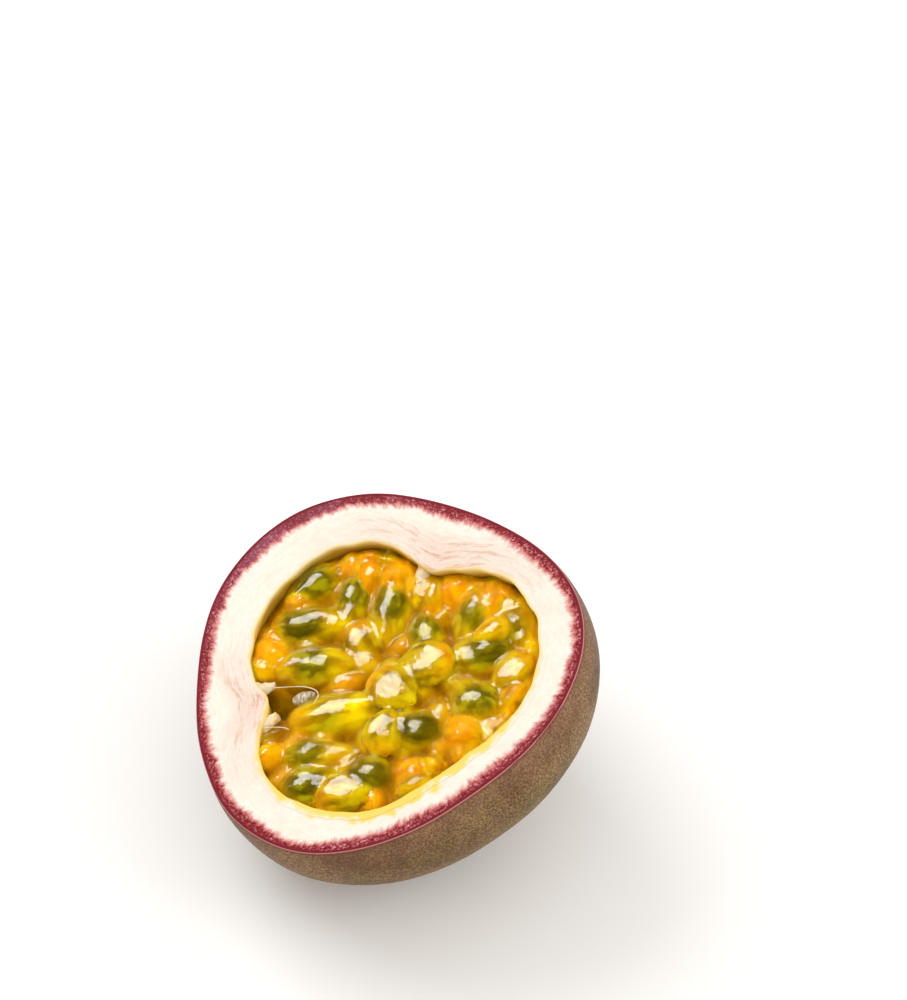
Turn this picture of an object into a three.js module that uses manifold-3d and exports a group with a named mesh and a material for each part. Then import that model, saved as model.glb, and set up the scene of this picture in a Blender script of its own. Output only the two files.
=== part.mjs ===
// Half of a purple passion fruit, cut across and resting on its rounded end: a thick bowl of rind,
// and in it the pulp, a heap of juice sacs that each hold one seed.
// Millimetres, +Z up. The origin is on the table, under the middle of the fruit's bounding box.
//
// The two pieces are built in the fruit's own frame: the cut is the plane z = 0, the blossom end points
// down, and x and y lie in the cut. Clock angles run anticlockwise from +x, in degrees. The finished
// fruit is then spun, tilted and set down on a small flat spot.
import * as THREE from "three";
import { mergeVertices } from "three/addons/utils/BufferGeometryUtils.js";
import Module from "manifold-3d";

const wasm = await Module();
wasm.setup();

// ---- the skin ----
const RIM_RADIUS = 30; // mean radius of the cut, from the fruit's axis to the skin
const WIDEST_BELOW_CUT = 4.4; // the fruit is at its widest a little below the knife
const DOME_BELOW_WIDEST = 26.8; // from the widest section down to the blossom end
const CARPELS = 3; // the flower's three carpels leave three rounded corners and three flats
const SKIN_LOBE = 0.058; // how far the corners stand out of the round, as a share of the radius
const SKIN_OVAL = 0.01; // how far the fruit is out of round besides
const SCAR_RADIUS = 2.4; // the dimple that the flower left at the blossom end
const SCAR_DEPTH = 0.9;

// ---- the cavity ----
const CAVITY_RADIUS = 22.9;
const CAVITY_BELOW_WIDEST = 19.5; // the rind is about 7 mm thick at the blossom end
const CAVITY_CENTRE = new THREE.Vector2(1.1, -0.9); // the hollow lies a little off the fruit's axis
const CAVITY_LOBE = 0.04;
// The seeds hang from three fleshy ridges that run down the wall, one on each flat.
// The torn white stalks that still stick out of them at the cut are given by their clock angles.
const RIDGES = [
  { clock: 66, height: 4.8, spread: 22, stalks: [71, 94] },
  { clock: 188, height: 3.8, spread: 17, stalks: [178, 196, 208] },
  { clock: 303, height: 1.2, spread: 22, stalks: [] },
];
const STALK = { length: 4.6, radius: 1.8, sunk: 3.2 };
const STALK_BELOW_CUT = 0.2;

// ---- the pulp ----
const GAP = 0.3; // between the pulp and everything else
const PULP_TOP = -0.5; // mean height of the sacs' tops, under the cut
const PULP_SLUMP = 0.6; // the pulp has slid this far towards the low side
const LOW_SIDE = 230; // clock angle of that side
const SAC = { length: 14.5, width: 7.4, height: 5.6 };
const EMPTY_SAC_HEIGHT = 0.65; // an empty sac has sunk to this share of a sac's height
const SEED = { length: 5.6, width: 3.9, height: 2.8 };
const SEED_ALONG_SAC = 0.4; // the seed sits nearer the stalk than the tip
const SEED_PROUD = 0.35; // how far a seed lifts the thin flesh over it
const HEAP_TOP = -4.6; // the sacs that are buried are one heap up to here
const COLLAR_TOP = -1.9; // and the flesh that lines the wall reaches up to here
const COLLAR = { from: 0.76, to: 0.93 }; // it rises over this stretch of the way out to the wall
const BURIED_SACS = 12; // sacs half sunk in the heap, seen only in the gaps
const BURIED_TOP = -3;
const BURIED_SPREAD = 0.9; // share of the cavity's radius that they fill
const GOLDEN_ANGLE = 137.508;
// The sacs at the cut: the seed's x and y, the heading from stalk to tip, the length and width beside
// SAC's, how far the sac stands proud, and what it is: a sac round its seed, a swollen root or an empty sac.
const SACS_AT_CUT = [
  [-10.7, 17.6, 211, 0.75, 0.85, -0.7, "seed"],
  [-4.8, 14.3, 262, 0.82, 0.85, -0.1, "seed"],
  [-1.4, 17.6, 262, 0.42, 0.62, 0.2, "root"],
  [1.8, 11.3, 265, 1.15, 0.9, 0.1, "seed"],
  [2.4, 16.8, 268, 0.42, 0.72, 0.3, "root"],
  [7.9, 12.8, 268, 0.5, 0.62, -0.1, "root"],
  [7.1, 5.9, 266, 0.8, 0.8, -0.3, "seed"],
  [10.8, 13.4, 285, 0.5, 0.8, 0.1, "root"],
  [14.0, 6.9, 258, 0.85, 0.85, 0.0, "seed"],
  [17.4, 10.2, 265, 0.55, 0.75, 0.2, "root"],
  [21.1, 4.9, 288, 0.85, 0.8, -0.2, "seed"],
  [18.0, 3.6, 200, 0.4, 0.5, 0.9, "empty"],
  [16.7, 0.5, 181, 0.85, 0.92, 0.2, "seed"],
  [20.8, -3.2, 215, 0.5, 0.7, 0.1, "empty"],
  [20.2, -7.5, 232, 0.65, 0.8, -0.1, "root"],
  [15.1, -7.5, 137, 0.9, 0.92, 0.3, "seed"],
  [13.4, -13.4, 152, 0.65, 0.9, 0.0, "root"],
  [6.5, -11.0, 153, 0.75, 0.95, 0.4, "seed"],
  [8.1, -0.3, 177, 0.6, 0.85, 0.5, "empty"],
  [1.4, -3.0, 319, 0.62, 0.85, 0.4, "empty"],
  [0.7, -11.7, 74, 0.5, 0.75, 0.5, "empty"],
  [-12.4, 10.2, 355, 1.05, 0.85, 0.0, "seed"],
  [-18.0, 7.0, 314, 0.45, 0.65, 0.1, "root"],
  [-10.8, 3.2, 352, 1.22, 0.95, 0.2, "seed"],
  [-2.4, 6.2, 300, 0.55, 0.8, -0.5, "empty"],
  [-8.6, -6.6, 1, 1.2, 0.98, 0.2, "seed"],
  [-11.3, -12.1, 350, 1.1, 0.78, -0.2, "seed"],
  [-17.1, -11.9, 355, 0.42, 0.72, 0.0, "root"],
  [-11.2, -17.6, 10, 0.82, 0.9, 0.1, "seed"],
  [-6.0, -20.2, 359, 0.6, 0.75, 0.2, "empty"],
  [-1.4, -17.4, 174, 0.75, 0.82, 0.1, "seed"],
  [5.0, -18.0, 176, 0.6, 0.75, -0.1, "root"],
  [6.2, -20.8, 190, 0.4, 0.4, 0.2, "empty"],
  [8.6, -17.4, 160, 0.35, 0.5, 0.4, "root"],
];

// ---- how it rests ----
const SPIN = 67.6; // degrees about the fruit's axis, from the cut's own x to the frame's
const TILT = 19.3; // degrees that the cut leans towards -Y
const REST_SAGITTA = 1.1; // how deep the flat spot cuts into the round of the skin

// ---- fineness ----
const SKIN_SIDES = 60;
const SKIN_RINGS = 15;
const CAVITY_SIDES = 42;
const CAVITY_RINGS = 8;
const STALK_SIDES = 7;
const SAC_SIDES = 8;
const SAC_BANDS = 6;
const SEED_SIDES = 8;
const SEED_BANDS = 5;
const MERGE_WITHIN = 0.03; // corners this close after the joins become one

const SKIN_COLOUR = 0x6f5a4c;
const PULP_COLOUR = 0xd9a514;

const radians = THREE.MathUtils.degToRad;

// A repeatable draw from -1 to 1 for the given sac and purpose.
function draw(index, purpose) {
  const wave = Math.sin(index * 127.1 + purpose * 311.7) * 43758.5453;
  return 2 * (wave - Math.floor(wave)) - 1;
}

// ---- solids ----
function solid(geometry) {
  const bare = new THREE.BufferGeometry();
  bare.setAttribute("position", geometry.getAttribute("position"));
  bare.setIndex(geometry.index);
  const merged = mergeVertices(bare, 1e-4);
  return new wasm.Manifold(
    new wasm.Mesh({
      numProp: 3,
      vertProperties: new Float32Array(merged.attributes.position.array),
      triVerts: new Uint32Array(merged.index.array),
    }),
  );
}

function geometryOf(manifold) {
  const mesh = manifold.getMesh();
  const geometry = new THREE.BufferGeometry();
  geometry.setAttribute("position", new THREE.BufferAttribute(mesh.vertProperties, 3));
  geometry.setIndex(new THREE.BufferAttribute(mesh.triVerts, 1));
  geometry.computeVertexNormals();
  return geometry;
}

// The connected surface that reaches furthest along x: scraps and sealed pockets are left behind.
function outerSkin(geometry) {
  const corners = geometry.index.array;
  const position = geometry.getAttribute("position");
  const parent = Array.from({ length: position.count }, (_, i) => i);
  const rootOf = (i) => {
    while (parent[i] !== i) i = parent[i] = parent[parent[i]];
    return i;
  };
  for (let i = 0; i < corners.length; i += 3) {
    parent[rootOf(corners[i + 1])] = rootOf(corners[i]);
    parent[rootOf(corners[i + 2])] = rootOf(corners[i]);
  }
  let furthest = 0;
  for (let i = 0; i < position.count; i++) {
    if (position.getX(i) > position.getX(furthest)) furthest = i;
  }
  const kept = corners.filter((_, i) => rootOf(corners[i - (i % 3)]) === rootOf(furthest));
  return geometry.setIndex(new THREE.BufferAttribute(kept, 1)).toNonIndexed();
}

// A turned body with its axis along z, from a profile of [radius, height] that runs from the bottom up.
function turned(profile, sides) {
  const points = profile.map(([radius, height]) => new THREE.Vector2(radius, height));
  return new THREE.LatheGeometry(points, sides).rotateX(Math.PI / 2);
}

// Moves each point of a turned body to the radius that radiusAt(radius, angle, height) gives.
function reshaped(geometry, radiusAt, centre = new THREE.Vector2()) {
  const position = geometry.getAttribute("position");
  for (let i = 0; i < position.count; i++) {
    const angle = Math.atan2(position.getY(i), position.getX(i));
    const radius = Math.hypot(position.getX(i), position.getY(i));
    const moved = radiusAt(radius, angle, position.getZ(i));
    const x = centre.x + moved * Math.cos(angle);
    const y = centre.y + moved * Math.sin(angle);
    position.setXY(i, x, y);
  }
  return geometry;
}

// The profile of a round bowl, from its pole up to the cut and on up to a lid at the height top.
function bowlProfile(radius, belowWidest, rings, top) {
  const mouth = Math.PI / 2 + Math.asin(WIDEST_BELOW_CUT / belowWidest);
  const profile = [];
  for (let i = 0; i <= rings; i++) {
    const polar = (mouth * i) / rings;
    profile.push([radius * Math.sin(polar), -WIDEST_BELOW_CUT - belowWidest * Math.cos(polar)]);
  }
  if (top > 0) profile.push([profile[rings][0], top]);
  profile.push([0, top]);
  return profile;
}

// 1 at the cut, falling to 0 at the pole, so that corners and ridges run out towards it.
function fade(height, depth) {
  const share = Math.min(1, Math.max(0, -height / depth));
  return 1 - share * share;
}

// ---- the rind ----
function skinSolid() {
  const depth = WIDEST_BELOW_CUT + DOME_BELOW_WIDEST;
  const widest = RIM_RADIUS / Math.sqrt(1 - (WIDEST_BELOW_CUT / DOME_BELOW_WIDEST) ** 2);
  const profile = bowlProfile(widest, DOME_BELOW_WIDEST, SKIN_RINGS, 0);
  for (const point of profile.slice(0, SKIN_RINGS)) {
    point[1] += SCAR_DEPTH * Math.exp(-((point[0] / SCAR_RADIUS) ** 2));
  }
  const dome = reshaped(turned(profile, SKIN_SIDES), (radius, angle, height) => {
    const lobe = SKIN_LOBE * Math.cos(CARPELS * angle) - SKIN_OVAL * Math.sin(2 * angle);
    return radius * (1 + lobe * fade(height, depth));
  });
  return solid(dome);
}

function ridgeHeight(angle) {
  let height = 0;
  for (const ridge of RIDGES) {
    const away = Math.atan2(Math.sin(angle - radians(ridge.clock)), Math.cos(angle - radians(ridge.clock)));
    height += ridge.height * Math.exp(-((away / radians(ridge.spread)) ** 2));
  }
  return height;
}

// Radius of the cavity's wall at the cut, about the cavity's own centre.
function mouthRadius(angle) {
  return CAVITY_RADIUS * (1 + CAVITY_LOBE * Math.cos(CARPELS * angle)) - ridgeHeight(angle);
}

// The hollow, drawn in by margin on every side and open up to the height top.
function cavitySolid(margin, top) {
  const belowWidest = CAVITY_BELOW_WIDEST - margin;
  const depth = WIDEST_BELOW_CUT + belowWidest;
  const profile = bowlProfile(1, belowWidest, CAVITY_RINGS, top);
  const mouth = profile[CAVITY_RINGS][0];
  const wall = reshaped(
    turned(profile, CAVITY_SIDES),
    (share, angle, height) => {
      const round = (CAVITY_RADIUS * share) / mouth;
      const shape = (mouthRadius(angle) / CAVITY_RADIUS - 1) * fade(height, depth);
      return round * (1 + shape) - (margin * share) / mouth;
    },
    CAVITY_CENTRE,
  );
  return solid(wall);
}

// One torn stalk, rooted in its ridge at the cut and pointing into the hollow.
function stalkSolid(clock, margin, index) {
  const { length, radius, sunk } = STALK;
  const angle = radians(clock);
  const wallAt = mouthRadius(angle);
  const thick = radius * (1 + 0.2 * draw(index, 1)) + margin;
  const reach = length * (1 + 0.15 * draw(index, 2)) + margin;
  const horn = turned(
    [
      [0, 0],
      [thick, 0],
      [thick * 0.8, reach * 0.6],
      [thick * 0.55, reach * 0.9],
      [0, reach],
    ],
    STALK_SIDES,
  );
  horn.rotateY(-Math.PI / 2); // along -x, into the hollow
  horn.translate(wallAt + sunk, 0, -radius - STALK_BELOW_CUT);
  horn.rotateZ(angle);
  horn.translate(CAVITY_CENTRE.x, CAVITY_CENTRE.y, 0);
  return solid(horn);
}

function stalks(margin) {
  const all = [];
  for (const ridge of RIDGES) {
    for (const clock of ridge.stalks) all.push(stalkSolid(clock, margin, all.length));
  }
  return wasm.Manifold.union(all);
}

function rindSolid() {
  const aboveCut = 5;
  return skinSolid().subtract(cavitySolid(0, aboveCut)).add(stalks(0));
}

// ---- the pulp ----
// Height of the heap's surface at a point, given its mean height.
function slumped(x, y, mean) {
  const away = new THREE.Vector2(x, y).rotateAround(new THREE.Vector2(), -radians(LOW_SIDE));
  return mean + (PULP_SLUMP * away.x) / CAVITY_RADIUS;
}

// A sac lies on its side: its long axis in the cut, its seed over the origin, its top at z = 0.
function sacGeometry(length, width, height) {
  const profile = [];
  for (let i = 0; i <= SAC_BANDS; i++) {
    const along = i / SAC_BANDS;
    const swell = Math.pow(Math.max(0, Math.sin(Math.PI * Math.pow(along, 0.8))), 0.65);
    profile.push([i === SAC_BANDS ? 0 : (width / 2) * swell, length * along]);
  }
  return turned(profile, SAC_SIDES)
    .translate(0, 0, -SEED_ALONG_SAC * length)
    .rotateY(Math.PI / 2)
    .scale(1, 1, height / width)
    .translate(0, 0, -height / 2);
}

function seedGeometry() {
  return new THREE.SphereGeometry(0.5, SEED_SIDES, SEED_BANDS)
    .rotateZ(Math.PI / 2)
    .scale(SEED.length, SEED.width, SEED.height)
    .translate(0, 0, SEED_PROUD - SEED.height / 2);
}

// A sac, fused with its seed if it has one, with its thickest part over x, y and its top at the height top.
function sacSolid({ x, y, top, heading, length = 1, width = 1, kind, index }) {
  const high = SAC.height * (kind === "empty" ? EMPTY_SAC_HEIGHT : 1);
  const pitch = radians(6 * draw(index, 5));
  const roll = radians(8 * draw(index, 6));
  const place = (geometry) =>
    geometry.rotateX(roll).rotateY(pitch).rotateZ(radians(heading)).translate(x, y, top);
  const sac = solid(place(sacGeometry(SAC.length * length, SAC.width * width, high)));
  if (kind !== "seed") return sac;
  const seed = seedGeometry().rotateZ(radians(12 * draw(index, 8)));
  return sac.add(solid(place(seed)));
}

function sacsAtCut() {
  return SACS_AT_CUT.map(([x, y, heading, length, width, proud, kind], index) =>
    sacSolid({ x, y, top: slumped(x, y, PULP_TOP) + proud, heading, length, width, kind, index }),
  );
}

// The next layer down, spread evenly by the golden angle.
function buriedSacs() {
  const sacs = [];
  for (let i = 0; i < BURIED_SACS; i++) {
    const reach = CAVITY_RADIUS * BURIED_SPREAD * Math.sqrt((i + 0.5) / BURIED_SACS);
    const angle = radians(GOLDEN_ANGLE * i);
    const x = reach * Math.cos(angle);
    const y = reach * Math.sin(angle);
    const heading = GOLDEN_ANGLE * i + 180 + 25 * draw(i, 9);
    const top = slumped(x, y, BURIED_TOP);
    sacs.push(sacSolid({ x, y, top, heading, length: 0.9, kind: "seed", index: SACS_AT_CUT.length + i }));
  }
  return sacs;
}

// The buried rest of the pulp: a shallow dish under the sacs, with a collar that lines the wall.
function heapSolid() {
  const outline = [
    [0, HEAP_TOP],
    [COLLAR.from, HEAP_TOP],
    [COLLAR.to, COLLAR_TOP],
    [2, COLLAR_TOP],
    [2, -COLLAR_TOP],
    [0, -COLLAR_TOP],
  ];
  const above = reshaped(
    turned(outline, CAVITY_SIDES),
    (share, angle) => share * mouthRadius(angle),
    CAVITY_CENTRE,
  );
  return cavitySolid(GAP, 0).subtract(solid(above));
}

function pulpGeometry() {
  const aboveCut = 4;
  const loose = wasm.Manifold.union([heapSolid(), ...sacsAtCut(), ...buriedSacs()]);
  const inside = loose.intersect(cavitySolid(GAP, aboveCut)).subtract(stalks(GAP));
  return outerSkin(geometryOf(inside.simplify(MERGE_WITHIN)));
}

// ---- setting it down ----
// The turn from the fruit's own frame to the row's.
function restingTurn() {
  return new THREE.Matrix4().makeRotationFromEuler(new THREE.Euler(radians(TILT), 0, radians(SPIN)));
}

// The rind cut flat where it meets the table, in the row's directions, and the table's height there.
function flattened(rind) {
  const turnedRind = geometryOf(rind).applyMatrix4(restingTurn());
  turnedRind.computeBoundingBox();
  const tableTop = turnedRind.boundingBox.min.z + REST_SAGITTA;
  const reach = 4 * RIM_RADIUS;
  const table = new THREE.BoxGeometry(reach, reach, reach).translate(0, 0, tableTop - reach / 2);
  const rested = geometryOf(solid(turnedRind).subtract(solid(table)));
  rested.computeBoundingBox();
  return rested;
}

function mesh(name, geometry, colour, roughness) {
  const material = new THREE.MeshStandardMaterial({ color: colour, roughness, metalness: 0 });
  const made = new THREE.Mesh(geometry, material);
  made.name = name;
  return made;
}

const restedRind = flattened(rindSolid());
const box = restedRind.boundingBox;
const footprint = new THREE.Vector3((box.min.x + box.max.x) / 2, (box.min.y + box.max.y) / 2, box.min.z);

const rind = mesh("rind", restedRind, SKIN_COLOUR, 0.45);
const pulp = mesh("pulp", pulpGeometry().applyMatrix4(restingTurn()), PULP_COLOUR, 0.15);

const passionFruitHalf = new THREE.Group();
passionFruitHalf.add(rind, pulp);
passionFruitHalf.position.copy(footprint).negate();

export default passionFruitHalf;
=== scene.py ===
# %% [markdown]
# # Half of a passion fruit
#
# A passion fruit is a tough little bowl of juice. Under a thin purple skin lies a thick spongy pith, and
# from three ridges on the pith's inner wall hang dozens of juice sacs, each wrapped round one dark seed.
# This lesson cuts one across and lays a half on a white table, tilted so that the pulp shows.
#
# The solids of the rind and the pulp come ready made, at their real size. Everything below dresses them:
# a fine rind with its real edge, and pulp made of three things that light treats differently, which are
# clear gel, cloudy flesh and hard dark seeds.

# %% Load the solids
import math

import bpy
import bmesh
import numpy as np
from mathutils import Matrix, Vector, noise


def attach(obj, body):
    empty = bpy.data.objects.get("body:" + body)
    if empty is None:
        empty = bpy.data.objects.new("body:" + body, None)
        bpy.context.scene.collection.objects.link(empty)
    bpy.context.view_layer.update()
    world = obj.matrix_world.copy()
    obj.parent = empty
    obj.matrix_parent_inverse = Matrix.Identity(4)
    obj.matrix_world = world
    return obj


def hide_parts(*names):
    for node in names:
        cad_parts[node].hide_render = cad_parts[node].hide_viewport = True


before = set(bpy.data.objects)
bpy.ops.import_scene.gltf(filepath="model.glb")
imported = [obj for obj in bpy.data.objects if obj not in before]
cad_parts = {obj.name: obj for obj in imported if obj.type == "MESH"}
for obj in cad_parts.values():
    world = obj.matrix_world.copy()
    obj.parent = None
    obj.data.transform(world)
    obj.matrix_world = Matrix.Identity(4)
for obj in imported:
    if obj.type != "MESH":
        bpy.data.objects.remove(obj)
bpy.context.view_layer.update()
MM = 0.001

# %% [markdown]
# ## The fruit's own frame
#
# The fruit lies tilted, so each piece is modelled in the fruit's own frame, with the cut flat at z = 0 and
# the blossom end pointing down, and is set down on the table when it is finished. Setting down is one turn
# and one move, applied to the mesh. Where each point was before is stored, for the materials to read.

# %% Points of a mesh as rows, and back
def points_of(piece):
    """The mesh's points in millimetres, one row each."""
    flat = np.empty(len(piece.data.vertices) * 3)
    piece.data.vertices.foreach_get("co", flat)
    return flat.reshape(-1, 3) / MM


def move_points(piece, points):
    """Puts the mesh's points where these rows say, in millimetres."""
    piece.data.vertices.foreach_set("co", (np.asarray(points) * MM).ravel())
    piece.data.update()


def remember(piece, name, values):
    """Stores a number or a place for each point, for a material to read."""
    values = np.asarray(values, dtype=float)
    kind, key = ("FLOAT_VECTOR", "vector") if values.ndim == 2 else ("FLOAT", "value")
    layer = piece.data.attributes.new(name, kind, "POINT")
    layer.data.foreach_set(key, values.ravel())


def carried(points, matrix):
    matrix = np.array(matrix)
    return points @ matrix[:3, :3].T + matrix[:3, 3]


def polar(points):
    """The clock angle of each point and its distance from the axis, seen from above."""
    return np.arctan2(points[:, 1], points[:, 0]), np.hypot(points[:, 0], points[:, 1])


def nearness(angle, clock, spread):
    """1 at that clock angle, falling off to 0 with the spread, both in degrees."""
    away = (np.degrees(angle) - clock + 180) % 360 - 180
    return np.exp(-((away / spread) ** 2))


def wobble(points, size, seed, depth=1.0):
    """Smooth noise from -depth to depth at each point. size is how many millimetres a swell is wide."""
    shift = Vector((seed * 17.3, seed * 5.1, seed * 11.7))
    return depth * np.array([noise.noise(Vector(p) / size + shift) for p in points])


# %% The turn and the move that lay the fruit down
SPIN = 67.6
TILT = 19.3
CUT_CENTRE = Vector((1.59, -2.12, 30.25)) * MM


def turned(degrees, axis):
    return Matrix.Rotation(math.radians(degrees), 4, axis)


SET_DOWN = Matrix.Translation(CUT_CENTRE) @ turned(TILT, "X") @ turned(SPIN, "Z")


def only(piece):
    """Selects this piece alone, so that the next operator acts on nothing else."""
    bpy.ops.object.select_all(action="DESELECT")
    piece.select_set(True)
    bpy.context.view_layer.objects.active = piece


def set_down(piece):
    """Lays a finished piece on the table, with its place in its mesh."""
    remember(piece, "fruit", points_of(piece))
    only(piece)
    piece.matrix_world = SET_DOWN
    bpy.ops.object.transform_apply()


# %% [markdown]
# ## Camera, floor and light
#
# The camera comes first, since every look is judged through it. It stands two thirds of a metre away with
# a long lens, and looks down on the fruit at fifty degrees.

# %% Camera
CAMERA_AZIMUTH = 68.77
CAMERA_ELEVATION = 50
# From the middle of the cut to the camera, in millimetres: rightwards, upwards and backwards in the view.
CAMERA_STEPS = Vector((11.37, 24.20, 646.6))

# A camera looks along its own -z, so it is first tipped up from looking down, and then turned.
view = turned(CAMERA_AZIMUTH, "Z") @ turned(90 - CAMERA_ELEVATION, "X")
bpy.ops.object.camera_add()
camera = bpy.context.object
camera.name = "camera"
camera.data.lens = 158.4
camera.data.sensor_width = 36
camera.data.clip_start = 0.01
camera.matrix_world = view
camera.location = CUT_CENTRE + MM * (view @ CAMERA_STEPS)
bpy.context.scene.camera = camera
bpy.context.scene.view_settings.view_transform = "Standard"
print("camera stands at", [round(v, 3) for v in camera.location])

# %% [markdown]
# A big softbox stands behind and to the left, high up, just where the wet cut mirrors the camera. Juice
# mirrors only a twentieth of what falls on it, so a second card, hung just in front, is seen in gloss
# alone: it whitens the glints and adds no light. The softbox, a weak fill from the right and the white
# room are the other way round. They light the fruit and are not mirrored, or their white would veil the
# deep colours of the juice.

# %% Lights
cut_normal = SET_DOWN.to_3x3() @ Vector((0, 0, 1))
key_way = -view.col[2].to_3d().reflect(cut_normal)
fill_way = (view @ Vector((0.9, 0.15, 0.4))).normalized()
# The way it stands from the cut and how far off, its size and power, and the rays that don't see it.
LIGHTS = {
    "key_softbox": (key_way, 0.8, (0.62, 0.46), 2.5, ["glossy"]),
    "glint_card": (key_way, 0.77, (0.55, 0.43), 6.3, ["diffuse", "transmission", "volume_scatter"]),
    "fill_softbox": (fill_way, 0.8, (0.5, 0.6), 2.4, ["glossy"]),
}
for name, (way, distance, size, power, unseen_by) in LIGHTS.items():
    bpy.ops.object.light_add(type="AREA", location=CUT_CENTRE + distance * way)
    light = bpy.context.object
    light.name = name
    light.rotation_euler = way.to_track_quat("Z", "Y").to_euler()
    light.data.shape = "RECTANGLE"
    light.data.size, light.data.size_y = size
    light.data.energy = power
    for ray in unseen_by:
        setattr(light, "visible_" + ray, False)

world = bpy.data.worlds.new("white_room")
bpy.context.scene.world = world
world.use_nodes = True
room = world.node_tree.nodes["Background"]
room.inputs["Color"].default_value = (1.0, 0.975, 0.935, 1)
room.inputs["Strength"].default_value = 0.88
world.cycles_visibility.glossy = False
print("softbox stands towards", [round(v, 2) for v in key_way])

# %% [markdown]
# ## Materials, as small chains of nodes
#
# Every material is a Principled shader fed by noise and by the numbers stored on the points. A few
# helpers keep the chains short: each adds one node, in the tree of what feeds it, and returns its output.

# %% Node helpers
def new_material(name):
    """A material with a Principled shader, and a function that reads what is stored on the points."""
    material = bpy.data.materials.new(name)
    material.use_nodes = True

    def read(layer):
        """A place for the three layers named here, or a number."""
        node = material.node_tree.nodes.new("ShaderNodeAttribute")
        node.attribute_name = layer
        return node.outputs["Vector" if layer in ("fruit", "turn", "in_sac") else "Fac"]

    return material, read


def plug(socket, value):
    """Feeds a socket from another node's output, or sets it to a plain number or colour."""
    if isinstance(value, bpy.types.NodeSocket):
        socket.id_data.links.new(value, socket)
    elif isinstance(value, tuple) and len(socket.default_value) == 4:
        socket.default_value = (*value, 1)
    else:
        socket.default_value = value


def cloudy(weight, radius, scale):
    """Light that wanders under the surface, as far as scale millimetres times each colour's radius."""
    return {"Subsurface Weight": weight, "Subsurface Radius": radius, "Subsurface Scale": scale * MM}


def shade(material, values):
    """Plugs each value into the shader's socket of that name, and returns the material."""
    shader = material.node_tree.nodes["Principled BSDF"]
    for name, value in values.items():
        plug(shader.inputs[name], value)
    return material


def added(node_type, inputs, **settings):
    """A new node with these settings, each input fed by another node's output or by a plain value."""
    tree = next(value.id_data for value in inputs.values() if isinstance(value, bpy.types.NodeSocket))
    node = tree.nodes.new(node_type)
    for name, value in settings.items():
        setattr(node, name, value)
    for key, value in inputs.items():
        plug(node.inputs[key], value)
    return node


def sums(operation, *values):
    """One step of arithmetic on outputs or plain numbers."""
    return added("ShaderNodeMath", dict(enumerate(values)), operation=operation).outputs[0]


def times(first, second):
    return sums("MULTIPLY", first, second)


def times_plus(value, gain, offset):
    return sums("MULTIPLY_ADD", value, gain, offset)


def opposite(value):
    """1 where the value is 0, and 0 where it is 1."""
    return sums("SUBTRACT", 1.0, value)


def grain(place, size, detail=2.0, roughness=0.5, distortion=0.0, stretch=(1, 1, 1)):
    """Noise from 0 to 1 whose swells are about size millimetres wide, times 1 / stretch along each axis."""
    scaled = added("ShaderNodeVectorMath", {0: place, 1: stretch}, operation="MULTIPLY")
    inputs = {"Vector": scaled.outputs[0], "Scale": 1 / size, "Detail": detail, "Roughness": roughness}
    return added("ShaderNodeTexNoise", {**inputs, "Distortion": distortion}).outputs["Fac"]


def ramp(value, *stops):
    """A colour for each value, from stops of (value, red, green, blue)."""
    node = added("ShaderNodeValToRGB", {0: value})
    elements = node.color_ramp.elements
    while len(elements) < len(stops):
        elements.new(0.5)
    for element, (at, *colour) in zip(elements, stops):
        element.position = at
        element.color = (*colour, 1)
    return node.outputs["Color"]


def between(value, low, high):
    """0 below low, 1 above high and smooth between."""
    inputs = {"Value": value, "From Min": low, "From Max": high}
    return added("ShaderNodeMapRange", inputs, interpolation_type="SMOOTHSTEP").outputs["Result"]


def blend(share, first, second, mode="MIX"):
    """The second colour over the first, by share."""
    inputs = {0: share, 6: first, 7: second}
    return added("ShaderNodeMix", inputs, data_type="RGBA", blend_type=mode).outputs[2]


def relief(height, depth, strength):
    """A bump normal from a height of 0 to 1 that stands for depth millimetres."""
    inputs = {"Height": height, "Distance": depth * MM, "Strength": strength}
    return added("ShaderNodeBump", inputs).outputs[0]


# %% [markdown]
# ## The rind's shape
#
# The skin is half an egg, widest a little below the cut. The flower's three carpels leave it faintly
# three-cornered. Those are three numbers and one cosine, so the rind is turned like a bowl on a lathe
# first, and a formula then pulls the corners out and pushes the three ridges in.

# %% Sizes of the rind, in millimetres
RIM_RADIUS = 30
WIDEST_BELOW_CUT = 4.4
DOME_BELOW_WIDEST = 26.8
CARPELS = 3
SKIN_LOBE = 0.058
SKIN_OVAL = 0.01
# The flower's scar, in the skin alone: the cavity's floor lies higher than SCAR_UNDER.
SCAR_RADIUS = 2.4
SCAR_DEPTH = 0.9
SCAR_UNDER = -25

CAVITY_RADIUS = 22.9
CAVITY_BELOW_WIDEST = 19.5
CAVITY_CENTRE = np.array((1.1, -0.9))
CAVITY_LOBE = 0.04
RIDGES = [
    {"clock": 66, "height": 4.8, "spread": 22},
    {"clock": 188, "height": 3.8, "spread": 17},
    {"clock": 303, "height": 1.2, "spread": 22},
]


# %% The formulas for the skin and for the cavity's wall
def fade(z, depth):
    """1 at the cut, falling to 0 at that depth."""
    share = np.clip(-z / depth, 0, 1)
    return 1 - share**2


def skin_share(angle, z):
    """How far out of round the skin is there, as a factor on its radius."""
    lobe = SKIN_LOBE * np.cos(CARPELS * angle) - SKIN_OVAL * np.sin(2 * angle)
    return 1 + lobe * fade(z, WIDEST_BELOW_CUT + DOME_BELOW_WIDEST)


def ridge_height(angle):
    """How far the ridges stand out of the wall at that angle."""
    return sum(ridge["height"] * nearness(angle, ridge["clock"], ridge["spread"]) for ridge in RIDGES)


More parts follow.
